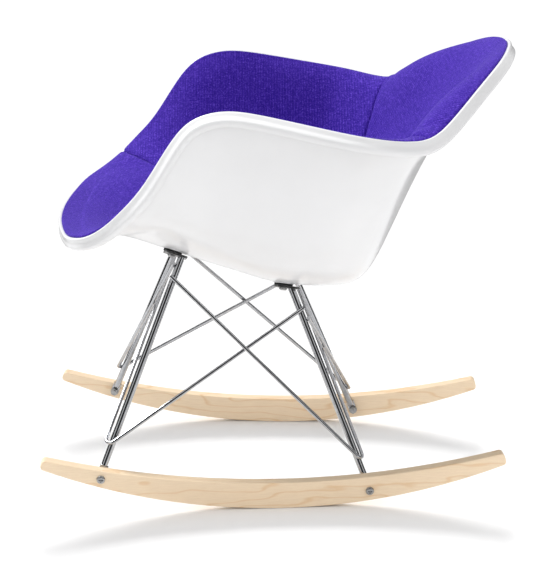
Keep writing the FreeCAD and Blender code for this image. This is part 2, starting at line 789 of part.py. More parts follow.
def layer_piece(faces_of_layer, patches, along_rings, along_stations):
    """Closed solid between a layer's two faces.

    Patches of both faces are (first U, last U, first level, last level).  Narrow walls close the
    gap along the borders: (first U, last U, level) along a ring, (U, first level, last level)
    along a station.
    """
    faces = [surface.toShape(*patch) for surface in faces_of_layer for patch in patches]
    for first, last, level in along_rings:
        faces.append(Part.makeRuledSurface(
            *(surface.vIso(level).toShape(first, last) for surface in faces_of_layer)))
    for along, first, last in along_stations:
        faces.append(Part.makeRuledSurface(
            *(surface.uIso(along).toShape(first, last) for surface in faces_of_layer)))
    return solid_of(faces)


def make_liner_layer(bowl, name, bottom, thickness, lower_face, upper_face, run_in):
    """Foam or cover: a seat-and-back piece, and two arm pieces that meet it at the seams."""
    surfaces = []
    for offset, face in ((bottom, lower_face), (bottom + thickness, upper_face)):
        near_rim = [bowl.beside_rim(face(up), up) for up in run_in]
        surfaces.append(layer_surface(bowl.at_centre(offset), bowl.layer(offset) + near_rim))
    rim_level = surfaces[0].getVKnots()[-1]
    count = len(bowl.rim)
    first, last = (station - 1 for station in PANEL_STATIONS)
    spans = {"left": (first, last), "right": (count - 2 - last, count - 2 - first)}
    front = (spans["right"][1], first + count)
    back = (last, spans["right"][0])
    seam = dim("seam_param")
    for side, (start, stop) in spans.items():
        start, stop, level = start + seam, stop - seam, PANEL_LEVEL + seam
        obj = doc.addObject("Part::Feature", f"{name}_arm_{side}")
        obj.Shape = layer_piece(
            surfaces, [(start, stop, level, rim_level)],
            [(start, stop, level), (start, stop, rim_level)],
            [(start, level, rim_level), (stop, level, rim_level)])
        keep(obj, f"{name}_arm_{side}")
    low = [(*span, 0, PANEL_LEVEL) for span in (front, back, *spans.values())]
    high = [(*span, PANEL_LEVEL, rim_level) for span in (front, back)]
    obj = doc.addObject("Part::Feature", f"{name}_seat_back")
    obj.Shape = layer_piece(
        surfaces, low + high,
        [(*span, PANEL_LEVEL) for span in spans.values()] + [(*span, rim_level) for span in (front, back)],
        [(along, PANEL_LEVEL, rim_level) for span in spans.values() for along in span])
    keep(obj, f"{name}_seat_back")


def make_liner(bowl):
    gap = dim("layer_gap")
    thickness = dim("cover_thickness")
    foam_bottom = dim("shell_thickness") + gap
    cover_bottom = foam_bottom + dim("foam_thickness") + gap
    make_liner_layer(bowl, "foam", foam_bottom, dim("foam_thickness"),
                     lambda up: shell_face(up) - gap, lambda up: cover_face(up) + thickness + gap,
                     RUN_IN)
    make_liner_layer(bowl, "cover", cover_bottom, thickness,
                     lambda up: cover_face(up) + thickness, cover_face, RUN_IN + (-2.0, 0.5))


# ---------------------------------------------------------------- assembly

# Heights on the legs where each brace hooks on, and where its side arm and cross arm end.
BRACE_HEIGHTS = {"front": (106.0, 262.0, 328.0), "rear": (79.0, 312.0, 247.0)}


def check_and_export():
    """Stop on any failed object, then write one file per sub-part."""
    doc.recompute()
    for obj in doc.Objects:
        if any(flag in ("Invalid", "Error") for flag in obj.State):
            raise RuntimeError(f"{obj.Label} failed to recompute")
    os.makedirs("parts", exist_ok=True)
    for obj in parts:
        if obj.Shape.isNull() or not obj.Shape.isValid():
            raise RuntimeError(f"{obj.Label} has no valid shape")
        obj.Shape.exportStep(f"parts/{obj.Label}.step")
        print(f"{obj.Label}: {obj.Shape.Volume / 1000:.1f} cm3, {len(obj.Shape.Solids)} solid")


bucket = Bowl()
make_shell(bucket)
make_liner(bucket)
for side_name in SIDES:
    make_rocker(side_name)
    for end_name in ENDS:
        make_rocker_fasteners(side_name, end_name)
        make_leg(side_name, end_name)
        make_brace(side_name, end_name, *BRACE_HEIGHTS[end_name], laps_over=side_name == "right")
        make_plate(side_name, end_name)
        make_mount_stack(side_name, end_name)
check_and_export()
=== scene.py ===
"""Looks of the rocking armchair: sewn liner, materials, light and camera round the CAD frame.

Frame: +X is the sitter's left, -Y is the front, +Z is up.  Lengths are in metres unless a name
says millimetres; the origin is on the floor, under the middle of the chair.
"""

import json
import math

import bpy
import numpy as np
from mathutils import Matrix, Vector


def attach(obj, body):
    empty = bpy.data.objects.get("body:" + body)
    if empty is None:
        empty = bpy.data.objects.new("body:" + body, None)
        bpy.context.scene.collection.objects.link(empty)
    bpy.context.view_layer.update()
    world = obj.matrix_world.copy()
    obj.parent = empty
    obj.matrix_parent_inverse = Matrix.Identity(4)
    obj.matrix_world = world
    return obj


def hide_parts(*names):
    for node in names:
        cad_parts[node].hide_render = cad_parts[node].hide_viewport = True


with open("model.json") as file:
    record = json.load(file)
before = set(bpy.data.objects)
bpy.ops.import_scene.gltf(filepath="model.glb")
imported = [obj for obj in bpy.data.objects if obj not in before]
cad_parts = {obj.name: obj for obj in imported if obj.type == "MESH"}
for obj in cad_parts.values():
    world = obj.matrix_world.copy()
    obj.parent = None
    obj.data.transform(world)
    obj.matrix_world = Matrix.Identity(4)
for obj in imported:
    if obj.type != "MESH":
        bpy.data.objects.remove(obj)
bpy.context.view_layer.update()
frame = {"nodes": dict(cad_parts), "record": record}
nodes = frame["nodes"]

MM = 0.001
# The Mix node's sockets when it mixes colours: factor and both colours, then its result.
MIX_SOCKETS = MIX_FACTOR, MIX_FIRST, MIX_SECOND = 0, 6, 7
MIX_COLOUR = 2


# ---------------------------------------------------------------- node helpers

class Nodes:
    """Short ways to build a material's node tree."""

    def __init__(self, name):
        self.material = bpy.data.materials.new(name)
        self.material.use_nodes = True
        self.tree = self.material.node_tree
        self.shader = self.tree.nodes["Principled BSDF"]

    def add(self, kind, **settings):
        node = self.tree.nodes.new("ShaderNode" + kind)
        for key, value in settings.items():
            if hasattr(node, key):
                setattr(node, key, value)
            else:
                node.inputs[key.replace("_", " ").title()].default_value = value
        return node

    def link(self, source, target):
        self.tree.links.new(source, target)
        return source

    def constants(self, **values):
        """Set the shader's own sockets, such as Base_Color or Roughness."""
        for key, value in values.items():
            self.shader.inputs[key.replace("_", " ")].default_value = value

    def coordinates(self, scale=(1, 1, 1), output="Object"):
        mapping = self.add("Mapping")
        mapping.inputs["Scale"].default_value = scale
        self.link(self.add("TexCoord").outputs[output], mapping.inputs["Vector"])
        return mapping.outputs["Vector"]

    def noise(self, vector, scale, detail=3.0, roughness=0.55):
        node = self.add("TexNoise", Scale=scale, Detail=detail, Roughness=roughness)
        self.link(vector, node.inputs["Vector"])
        return node.outputs["Fac"]

    def bands(self, vector, scale, direction="X", distortion=0.0, detail_scale=1.0):
        node = self.add("TexWave", bands_direction=direction)
        node.inputs["Scale"].default_value = scale
        node.inputs["Distortion"].default_value = distortion
        node.inputs["Detail Scale"].default_value = detail_scale
        self.link(vector, node.inputs["Vector"])
        return node.outputs["Fac"]

    def ramp(self, factor, *stops):
        """Colour ramp from (position, colour) stops; a single number stands for a grey."""
        node = self.add("ValToRGB")
        band = node.color_ramp
        while len(band.elements) < len(stops):
            band.elements.new(0.5)
        for element, (position, colour) in zip(band.elements, stops):
            element.position = position
            element.color = (*colour, 1) if isinstance(colour, tuple) else (*[colour] * 3, 1)
        self.link(factor, node.inputs["Fac"])
        return node.outputs["Color"]

    def mix(self, factor, first, second):
        node = self.add("Mix", data_type="RGBA")
        targets = [node.inputs[socket] for socket in MIX_SOCKETS]
        for source, target in zip((factor, first, second), targets):
            if isinstance(source, bpy.types.NodeSocket):
                self.link(source, target)
            elif isinstance(source, tuple):
                target.default_value = (*source, 1)
            else:
                target.default_value = source
        return node.outputs[MIX_COLOUR]

    def math(self, operation, first, second=0.0):
        node = self.add("Math", operation=operation)
        for source, target in zip((first, second), node.inputs):
            if isinstance(source, bpy.types.NodeSocket):
                self.link(source, target)
            else:
                target.default_value = source
        return node.outputs[0]

    def colour(self, socket):
        self.link(socket, self.shader.inputs["Base Color"])

    def roughness(self, factor, low, high):
        node = self.add("MapRange")
        node.inputs["To Min"].default_value = low
        node.inputs["To Max"].default_value = high
        self.link(factor, node.inputs["Value"])
        self.link(node.outputs["Result"], self.shader.inputs["Roughness"])

    def bump(self, height, strength, distance):
        """Add relief; later calls lie on top of earlier ones."""
        node = self.add("Bump")
        node.inputs["Strength"].default_value = strength
        node.inputs["Distance"].default_value = distance
        self.link(height, node.inputs["Height"])
        target = self.shader.inputs["Normal"]
        if target.is_linked:
            self.link(target.links[0].from_socket, node.inputs["Normal"])
        self.link(node.outputs["Normal"], target)


# ---------------------------------------------------------------- materials

def moulded_plastic():
    """White polypropylene with a fine satin texture and a little handling wear."""
    n = Nodes("shell_plastic")
    place = n.coordinates()
    cloud = n.noise(place, 9, 4)
    n.colour(n.ramp(cloud, (0.3, (0.82, 0.82, 0.825)), (0.7, (0.85, 0.85, 0.855))))
    n.roughness(n.noise(place, 60, 5, 0.65), 0.27, 0.42)
    n.bump(n.noise(place, 900, 2), 0.12, 0.0003)
    n.bump(n.noise(place, 14, 2), 0.10, 0.003)
    scuffs = n.ramp(n.noise(n.coordinates((40, 6, 40)), 22, 6, 0.7), (0.66, 0.0), (0.72, 1.0))
    n.bump(scuffs, 0.05, 0.0002)
    n.constants(Coat_Weight=0.25, Coat_Roughness=0.12, IOR=1.5)
    return n.material


def wool_fabric():
    """Violet-blue upholstery cloth: ribbed weave of mottled yarn with a soft nap."""
    n = Nodes("liner_fabric")
    flat = n.coordinates(output="UV")
    warp = n.bands(flat, 185, "X", 0.6, 2.0)
    weft = n.bands(flat, 185, "Y", 0.6, 2.0)
    weave = n.math("MULTIPLY", n.math("ADD", warp, weft), 0.5)
    ribs = n.bands(flat, 74, "X", 1.8, 3.0)
    slub_warp = n.noise(n.coordinates((330, 60, 1), "UV"), 1.0, 3, 0.6)
    slub_weft = n.noise(n.coordinates((60, 330, 1), "UV"), 1.0, 3, 0.6)
    slub = n.math("MULTIPLY", n.math("ADD", slub_warp, slub_weft), 0.5)
    flecks = n.noise(flat, 430, 4, 0.72)
    wear = n.noise(flat, 12, 3)
    tufts = n.noise(flat, 150, 3, 0.6)
    fine = n.math("ADD", n.math("MULTIPLY", slub, 0.22), n.math("MULTIPLY", flecks, 0.58))
    mottle = n.math("ADD", fine, n.math("MULTIPLY", tufts, 0.20))
    yarn = n.ramp(mottle, (0.38, (0.018, 0.003, 0.20)), (0.50, (0.050, 0.014, 0.35)),
                  (0.62, (0.17, 0.080, 0.68)))
    # Painted shade: the yarn colour is darkened in the grooves between the ribs, then in the gaps
    # of the weave.
    yarn_with_rib_shade = n.mix(n.ramp(ribs, (0.1, 0.40), (0.6, 0.0)), yarn, (0.012, 0.003, 0.20))
    shaded = n.mix(n.ramp(weave, (0.15, 0.40), (0.6, 0.0)), yarn_with_rib_shade, (0.008, 0.002, 0.16))
    n.colour(n.mix(n.ramp(wear, (0.35, 0.0), (0.75, 0.12)), shaded, (0.13, 0.06, 0.58)))
    n.roughness(flecks, 0.78, 0.95)
    n.bump(weave, 0.55, 0.0005)
    n.bump(ribs, 0.30, 0.0006)
    n.bump(flecks, 0.50, 0.0010)
    n.constants(Sheen_Weight=0.26, Sheen_Roughness=0.32, Sheen_Tint=(0.52, 0.42, 1.0, 1.0),
                Specular_IOR_Level=0.18)
    return n.material


def chrome():
    """Bright plating with faint drawing lines and a few dull specks."""
    n = Nodes("chrome_plating")
    lines = n.noise(n.coordinates((1, 1, 0.06)), 2400, 2)
    specks = n.noise(n.coordinates(), 160, 5, 0.7)
    n.colour(n.ramp(specks, (0.3, (0.37, 0.375, 0.39)), (0.65, (0.48, 0.485, 0.50))))
    n.roughness(specks, 0.03, 0.13)
    n.bump(lines, 0.05, 0.0001)
    n.constants(Metallic=1.0)
    return n.material


def maple():
    """Pale maple: long fibres, fine pores and wide-spaced growth figure along the runner."""
    n = Nodes("maple_wood")
    warp = n.noise(n.coordinates((9, 1.9, 9)), 1.6, 3, 0.5)
    lift = n.add("CombineXYZ")
    n.link(n.math("MULTIPLY", n.math("SUBTRACT", warp, 0.5), 0.22), lift.inputs["Z"])
    moved = n.add("VectorMath", operation="ADD")
    n.link(n.coordinates(), moved.inputs[0])
    n.link(lift.outputs[0], moved.inputs[1])
    figure = n.bands(moved.outputs[0], 13, "Z", 0.8, 2.0)
    rings = n.ramp(figure, (0.0, 0.0), (0.88, 0.03), (0.96, 0.5), (1.0, 1.0))
    fibre = n.noise(n.coordinates((260, 7, 260)), 3.0, 6, 0.65)
    pores = n.ramp(n.noise(n.coordinates((900, 55, 900)), 1.6, 2), (0.60, 0.0), (0.70, 1.0))
    broad = n.noise(n.coordinates((10, 2, 14)), 1.5, 2)
    pale = n.ramp(fibre, (0.25, (0.74, 0.575, 0.40)), (0.75, (0.86, 0.70, 0.50)))
    toned = n.mix(n.ramp(broad, (0.3, 0.0), (0.75, 0.35)), pale, (0.82, 0.62, 0.42))
    figured = n.mix(n.math("MULTIPLY", rings, 0.42), toned, (0.66, 0.38, 0.15))
    n.colour(n.mix(n.math("MULTIPLY", pores, 0.16), figured, (0.60, 0.37, 0.18)))
    n.roughness(fibre, 0.36, 0.52)
    n.bump(fibre, 0.12, 0.0006)
    n.bump(pores, 0.10, 0.0003)
    n.constants(Coat_Weight=0.18, Coat_Roughness=0.25)
    return n.material


def rubber():
    """Matt black rubber with a fine grain."""
    n = Nodes("black_rubber")
    grain = n.noise(n.coordinates(), 1500, 3)
    n.colour(n.ramp(n.noise(n.coordinates(), 45, 4), (0.3, 0.012), (0.7, 0.028)))
    n.roughness(grain, 0.62, 0.82)
    n.bump(grain, 0.3, 0.0002)
    return n.material


def dark_steel(name, low, high, metallic):
    """Plated steel with a mottled surface; low and high are its darkest and lightest greys."""
    n = Nodes(name)
    mottle = n.noise(n.coordinates(), 260, 5, 0.65)
    n.colour(n.ramp(mottle, (0.3, low), (0.7, high)))
    n.roughness(mottle, 0.26, 0.46)
    n.bump(n.noise(n.coordinates(), 700, 3), 0.15, 0.0002)
    n.constants(Metallic=metallic)
    return n.material


def brass():
    """Turned brass with a faint mottle."""
    n = Nodes("insert_brass")
    mottle = n.noise(n.coordinates(), 420, 4)
    n.colour(n.ramp(mottle, (0.3, (0.62, 0.42, 0.14)), (0.7, (0.78, 0.57, 0.23))))
    n.roughness(mottle, 0.22, 0.40)
    n.constants(Metallic=1.0)
    return n.material


def finish_cad_nodes():
    """Give every CAD node the finish of its material slot."""
    finishes = {
        "shell": moulded_plastic(),
        "chrome": chrome(),
        "maple": maple(),
        "rubber": rubber(),
        "plate": dark_steel("plate_steel", 0.10, 0.22, 1.0),
        "fastener": dark_steel("fastener_steel", 0.30, 0.52, 1.0),
        "insert": brass(),
    }
    for entry in frame["record"]["subparts"]:
        finish = finishes.get(entry["material_slot"])
        if finish is not None:
            mesh = nodes[entry["node"]].data
            mesh.materials.clear()
            mesh.materials.append(finish)


# ---------------------------------------------------------------- the liner's surface

# The bucket's left half in millimetres, station by station from the middle of the front edge to
# the middle of the back: the rim's X, Y and Z, and the X and Y of the point where floor turns into
# wall.
STATIONS = (
    ((0, -318, 393), (0, -228)),
    ((80, -314, 394), (55, -225)),
    ((150, -305, 396.5), (103, -217)),
    ((200, -293, 401), (138, -204)),
    ((240, -270, 411), (163, -186)),
    ((262, -243, 430), (178, -166)),
    ((272, -217, 455), (186, -146)),
    ((272, -188, 489), (191, -125)),
    ((270, -152, 544), (194, -100)),
    ((273, -118, 575), (196, -75)),
    ((279, -75, 585), (198, -45)),
    ((287, -25, 579.5), (199, -15)),
    ((296, 30, 569), (198, 18)),
    ((303, 82, 559), (194, 48)),
    ((299, 122, 551.5), (185, 69)),
    ((282, 157, 545.5), (171, 87)),
    ((262, 190, 546.5), (151, 103)),
    ((232, 222, 566), (124, 115)),
    ((178, 262, 599), (93, 122)),
    ((112, 299, 625), (60, 125)),
    ((54, 318, 637), (28, 127)),
    ((0, 325, 640), (0, 127)),
)
ROUND = 2 * (len(STATIONS) - 1)
# Pole rings between the bowl's centre and the corner, as shares of the way.
FLOOR_RINGS = (("inner_floor", 0.3), ("mid_floor", 0.68))
# Pole rings up the wall: share of the climb, bulge in millimetres and what the back adds to it.
WALL_RINGS = (("low_wall", 0.34, 6, 20), ("high_wall", 0.72, 10, 34))
# How much of the rim's inset each pole ring takes, from the centre out.
INSET_SHARES = (0, 0, 0, 0.35, 0.7)
BOWL_CENTRE_Y = -25.0
TOUCH_POINT_Y = 2.42
FLOOR_HEIGHT = 277.0
FLOOR_SLOPE, FLOOR_TURN_Y = 0.37, 0.0
FLOOR_RISE, FLOOR_RISE_Y = 0.12, 50.0
FLOOR_TURN_WIDTH = 30.0
FLOOR_CROSS_RADIUS = 260.0
SHELL_THICKNESS = 5.0
FOAM_THICKNESS = 6.0
COVER_THICKNESS = 2.6
RIM_PINCH = 3.4
LAYER_GAP = 0.35
FOAM_BOTTOM = SHELL_THICKNESS + LAYER_GAP
COVER_TOP = FOAM_BOTTOM + FOAM_THICKNESS + LAYER_GAP + COVER_THICKNESS
# Heights against the rim, along the wall, of a face's last pole rings.
RUN_IN = (-32.0, -20.0, -14.0, -9.0, -5.0, -2.0, 0.5)
# How far each face moves outwards for each millimetre that it rises beside the rim.
TOP_LEAN, BOTTOM_LEAN = 0.155, 0.012
SPLINE_PASSES = 12


def unit(vectors):
    """The vectors, scaled to length 1."""
    return vectors / np.linalg.norm(vectors, axis=-1, keepdims=True)


def dots(first, second):
    """Row by row dot products, kept as a column."""
    return (first * second).sum(-1, keepdims=True)


def soft_ramp(distance, width):
    """Zero below 0 and the distance itself above, with a rounded turn of about this width."""
    return (distance + np.hypot(distance, width)) / 2


def floor_z(x, y):
    """Height of the bowl's floor, which rises to the front, to the rear and to the sides."""
    slope = FLOOR_SLOPE * soft_ramp(FLOOR_TURN_Y - y, FLOOR_TURN_WIDTH)
    rise = FLOOR_RISE * soft_ramp(y - FLOOR_RISE_Y, FLOOR_TURN_WIDTH)
    return FLOOR_HEIGHT + slope + rise + x * x / 2 / FLOOR_CROSS_RADIUS


def closed_ring(half):
    """Poles of the closed cubic B-spline through a half ring and its mirror image."""
    half = np.array(half, float)
    points = np.vstack([half, half[-2:0:-1] * (-1, 1, 1)])
    poles = points.copy()
    for _ in range(SPLINE_PASSES):
        poles += points - (np.roll(poles, 1, 0) + 4 * poles + np.roll(poles, -1, 0)) / 6
    return poles


def bucket_rings():
    """Pole rings of the bucket's outer face, from its centre to the rim, as in the CAD model."""
    names = ("inner_floor", "mid_floor", "corner", "low_wall", "high_wall", "rim")
    half = {name: [] for name in names}
    for rim, plan in STATIONS:
        edge = np.array(rim, float)
        corner = np.array((*plan, floor_z(*plan)))
        for name, share in FLOOR_RINGS:
            x = plan[0] * share
            y = BOWL_CENTRE_Y + (plan[1] - BOWL_CENTRE_Y) * share
            half[name].append((x, y, floor_z(x, y)))
        climb = edge - corner
        outward = unit(climb * (1, 1, 0))
        steep = max(0.0, climb[2] / np.linalg.norm(climb)) ** 2
        back = max(0.0, outward[1])
        half["corner"].append(corner)
        for name, share, bulge, added in WALL_RINGS:
            half[name].append(corner + climb * share - outward * steep * (bulge + added * back))
        half["rim"].append(edge)
    centre = np.array((0, BOWL_CENTRE_Y, floor_z(0, BOWL_CENTRE_Y)))
    return centre, [closed_ring(half[name]) for name in names]


class Bucket:
    """Offsets of the bucket's outer face, as grids of B-spline poles."""

    def __init__(self):
        self.centre, rings = bucket_rings()
        order = [np.tile(self.centre, (ROUND, 1)), *rings]
        self.normals = []
        for k in range(1, len(order)):
            outside = order[min(k + 1, len(order) - 1)]
            around = np.roll(order[k], -1, 0) - np.roll(order[k], 1, 0)
            self.normals.append(unit(np.cross(outside - order[k - 1], around)))
        depths = [share * (SHELL_THICKNESS + RIM_PINCH) for share in INSET_SHARES]
        self.outer = [ring - normal * depth
                      for ring, normal, depth in zip(rings, self.normals, depths)]
        self.rim = rings[-1]
        up = self.rim - rings[-2]
        self.up = unit(up - self.normals[-1] * dots(up, self.normals[-1]))

    def face(self, offset, out_at):
        """Poles of the face at an offset from the outer face; out_at says how it leaves the rim."""
        rings = [np.tile(self.centre + (0, 0, offset), (ROUND, 1))]
        rings += [ring + normal * offset for ring, normal in zip(self.outer, self.normals)]
        rings += [self.rim - self.normals[-1] * out_at(up) + self.up * up for up in RUN_IN]
        return np.stack(rings, 1)


def ring_weights(params):
    """Weights of the closed ring's poles; whole numbers are stations, counted from the second."""
    span = np.floor(params).astype(int)
    t = params - span
    shares = ((1 - t) ** 3, 3 * t**3 - 6 * t**2 + 4, -3 * t**3 + 3 * t**2 + 3 * t + 1, t**3)
    weights = np.zeros((len(params), ROUND))
    for shift, share in enumerate(shares):
        weights[np.arange(len(params)), (span + shift) % ROUND] += share / 6
    return weights


def level_weights(params, count):
    """Weights of the poles from the centre out to the rim, on a clamped cubic."""
    last = count - 3
    knots = np.clip(np.arange(count + 4) - 3, 0, last).astype(float)
    params = np.minimum(params, last - 1e-9)
    weights = [((low <= params) & (params < high)) * 1.0 for low, high in zip(knots, knots[1:])]
    for degree in (1, 2, 3):
        raised = []
        for i in range(len(weights) - 1):
            before = knots[i + degree] - knots[i]
            after = knots[i + degree + 1] - knots[i + 1]
            value = np.zeros(len(params))
            if before:
                value += (params - knots[i]) / before * weights[i]
            if after:
                value += (knots[i + degree + 1] - params) / after * weights[i + 1]
            raised.append(value)
        weights = raised
    return np.stack(weights, 1)


def evaluate(poles, around, levels):
    """Points in metres at every place round the ring and every level, as a grid of both."""
    across = level_weights(levels, poles.shape[1])
    grid = np.einsum("am,bn,mnk->abk", ring_weights(around), across, poles)
    return (grid + (0, TOUCH_POINT_Y, 0)) * MM


def grid_normals(grid):
    """Unit normals of a grid that is closed round its first axis, pointing into the seat."""
    around = np.roll(grid, -1, 0) - np.roll(grid, 1, 0)
    outwards = np.gradient(grid, axis=1)
    normals = np.cross(outwards, around)
    normals[:, 0] = (0, 0, 1)
    return unit(normals)


# ---------------------------------------------------------------- the liner's panels

# Seams run along the stations where the arm panels start and stop, and along one level.
# Levels run from 0 at the bowl's centre to TOP_LEVEL at the rim.
FIRST_SEAM, LAST_SEAM = 4.0, 15.0
LOW_SEAM = 2.25
RIM_START = 5.6
TOP_LEVEL = 10.0
EASED_LEVELS = (3.4, 7.6)
EASE_PASSES = 40
SEAM_DEPTH = 3.4 * MM
SEAM_WIDTH = 2.4 * MM

# Samples of the grid: round the ring between two seams, and across the bowl, the wall and the rim.
AROUND_COUNTS = (86, 84, 86, 74)
LOW_COUNT, WALL_COUNT, RIM_COUNT = 22, 46, 17
CROWDING = 0.135

# The cloth is held on the first rows round the centre; its travel is smoothed, then capped.
CENTRE_ROWS = 3
CLOTH_STEPS = 20
SHIFT_PASSES = 80
CLOTH_REACH = 1.6 * MM

# Swellings beside the rim: height, station and half width in stations, then the distance from the
# rim over which each one rises and the distance at which it has died away, in millimetres.
ROLLS = (
    (2.0, 10.5, 60.0, 6.0, 45.0),
    (12.0, 14.6, 2.0, 17.0, 60.0),
    (38.0, 17.4, 1.8, 36.0, 95.0),
    (1.8, 3.2, 1.3, 16.0, 55.0),
)


def graded(start, stop, count):
    """Samples between two seams, closer together beside them."""
    share = np.linspace(0, 1, count)
    return start + (stop - start) * (share - CROWDING * np.sin(2 * np.pi * share))


def sample_around():
    """Places round the ring, and the columns of the four side seams among them."""
    mirror = ROUND - 2
    stops = (FIRST_SEAM, LAST_SEAM, mirror - LAST_SEAM, mirror - FIRST_SEAM, ROUND + FIRST_SEAM)
    pieces = [graded(*ends)[:-1] for ends in zip(stops, stops[1:], AROUND_COUNTS)]
    return np.concatenate(pieces), np.cumsum([0] + [len(piece) for piece in pieces[:-1]])


def sample_levels():
    """Levels from the centre to the rim, and the row of the low seam among them."""
    low = np.linspace(0, LOW_SEAM, LOW_COUNT)[:-1]
    wall = graded(LOW_SEAM, RIM_START, WALL_COUNT)[:-1]
    rim = np.linspace(RIM_START, TOP_LEVEL, RIM_COUNT)
    return np.concatenate([low, wall, rim]), len(low)


def ease(grid, levels):
    """Smooth a grid from the centre out to the rim between two levels, to take out creases."""
    low, high = EASED_LEVELS
    inside = ((levels > low) & (levels < high))[None, 1:-1, None]
    for _ in range(EASE_PASSES):
        middle = (grid[:, :-2] + 2 * grid[:, 1:-1] + grid[:, 2:]) / 4
        grid[:, 1:-1] = np.where(inside, middle, grid[:, 1:-1])
    return grid


def bump_at(place, centre, width):
    """A smooth bump that is 1 at its centre."""
    return np.exp(-(((place - centre) / width) ** 2))


def station_of(around):
    """Station number from 0 at the front to 21 at the back, on either side."""
    station = (around + 1) % ROUND
    return np.minimum(station, ROUND - station)


def edge_roll(grid, around):
    """How far the padding swells into the seat, and how far below the rim each point lies.

    A small roll runs all round, and there is another one beside the seat's front corners.  At the
    rear corners of the arms it turns over sharply, and up the sides of the back it is a broad
    swelling, so that the back meets its wings in a soft ridge.
    """
    lengths = np.linalg.norm(np.diff(grid, axis=1), axis=-1)
    from_rim = np.cumsum(lengths[:, ::-1], 1)[:, ::-1]
    below_rim = np.concatenate([from_rim, np.zeros((len(grid), 1))], 1)
    station = station_of(around)[:, None]
    swell = 0
    for height, centre, width, turn, reach in ROLLS:
        rising = 1 - np.exp(-below_rim / (turn * MM))
        shape = rising * bump_at(below_rim, 0, reach * MM)
        swell = swell + height * MM * bump_at(station, centre, width) * shape
    return swell, below_rim


def distance_to(grid, border):
    """Distance of every grid point to the nearest of the border points."""
    flat = grid.reshape(-1, 3)
    nearest = np.full(len(flat), 1.0)
    for point in border:
        nearest = np.minimum(nearest, np.linalg.norm(flat - point, axis=1))
    return nearest.reshape(grid.shape[:2])


def settle(name, mesh, held):
    """Inflate the sheet as cloth held at some points, and return its smoothed, capped travel."""
    sheet = bpy.data.objects.new(name + "_cloth", mesh.copy())
    bpy.context.scene.collection.objects.link(sheet)
    pins = sheet.vertex_groups.new(name="held")
    pins.add(held, 1.0, "REPLACE")
    cloth = sheet.modifiers.new("Cloth", "CLOTH")
    cloth.settings.quality = 4
    cloth.settings.mass = 0.25
    cloth.settings.tension_stiffness = 22
    cloth.settings.compression_stiffness = 22
    cloth.settings.shear_stiffness = 8
    cloth.settings.bending_stiffness = 3
    cloth.settings.vertex_group_mass = "held"
    cloth.settings.use_pressure = True
    cloth.settings.uniform_pressure_force = 4
    cloth.settings.shrink_min = -0.012
    cloth.settings.effector_weights.gravity = 0
    cloth.collision_settings.use_collision = False
    scene = bpy.context.scene
    for step in range(1, CLOTH_STEPS + 1):
        scene.frame_set(step)
    moved = sheet.evaluated_get(bpy.context.evaluated_depsgraph_get()).to_mesh()
    places = np.zeros(len(moved.vertices) * 3)
    moved.vertices.foreach_get("co", places)
    rest = np.zeros(len(mesh.vertices) * 3)
    mesh.vertices.foreach_get("co", rest)
    shift = (places - rest).reshape(-1, 3)
    starts, stops = np.array([edge.vertices[:] for edge in mesh.edges]).T
    neighbours = np.bincount(np.concatenate([starts, stops]), minlength=len(shift))[:, None]
    for _ in range(SHIFT_PASSES):
        total = np.zeros_like(shift)
        np.add.at(total, starts, shift[stops])
        np.add.at(total, stops, shift[starts])
        shift = (shift + total / neighbours) / 2
        shift[held] = 0
    length = np.linalg.norm(shift, axis=1, keepdims=True) + 1e-9
    scene.frame_set(1)
    bpy.data.objects.remove(sheet)
    return shift / length * CLOTH_REACH * np.tanh(length / CLOTH_REACH)


def sheet_mesh(name, points, cells):
    """A mesh from points and the cells between them."""
    mesh = bpy.data.meshes.new(name)
    mesh.from_pydata(points.tolist(), [], cells)
    mesh.update()
    return mesh


def panel_cells(columns, rows, keep):
    """Cells of the grid that are kept, as grid indices; those at the centre are triangles."""
    cells = []
    for column in range(columns):
        following = (column + 1) % columns
        for row in range(rows - 1):
            if not keep(column, row):
                continue
            outer = (following * rows + row + 1, column * rows + row + 1)
            inner = (column * rows + row, following * rows + row) if row else (0,)
            cells.append(inner + outer)
    return cells


def compact(points, cells):
    """The points that the cells use, and the cells renumbered to them."""
    used = sorted({index for cell in cells for index in cell})
    position = {index: place for place, index in enumerate(used)}
    return np.array(used), [tuple(position[index] for index in cell) for cell in cells]


def border_edges(cells):
    """Directed edges that belong to one cell only."""
    edges = {}
    for cell in cells:
        for start, stop in zip(cell, cell[1:] + cell[:1]):
            if (stop, start) in edges:
                del edges[(stop, start)]
            else:
                edges[(start, stop)] = True
    return list(edges)


def fabric_coordinates(points, is_arm):
    """Weave directions: along the seat and up the back, or along an arm and up its wall."""
    x, y, z = points.T
    if is_arm:
        return np.stack([y, z + 0.3 * np.abs(x)], 1)
    return np.stack([x, y + 0.8 * (z - 0.3) * np.tanh((y + 0.06) / 0.06)], 1)


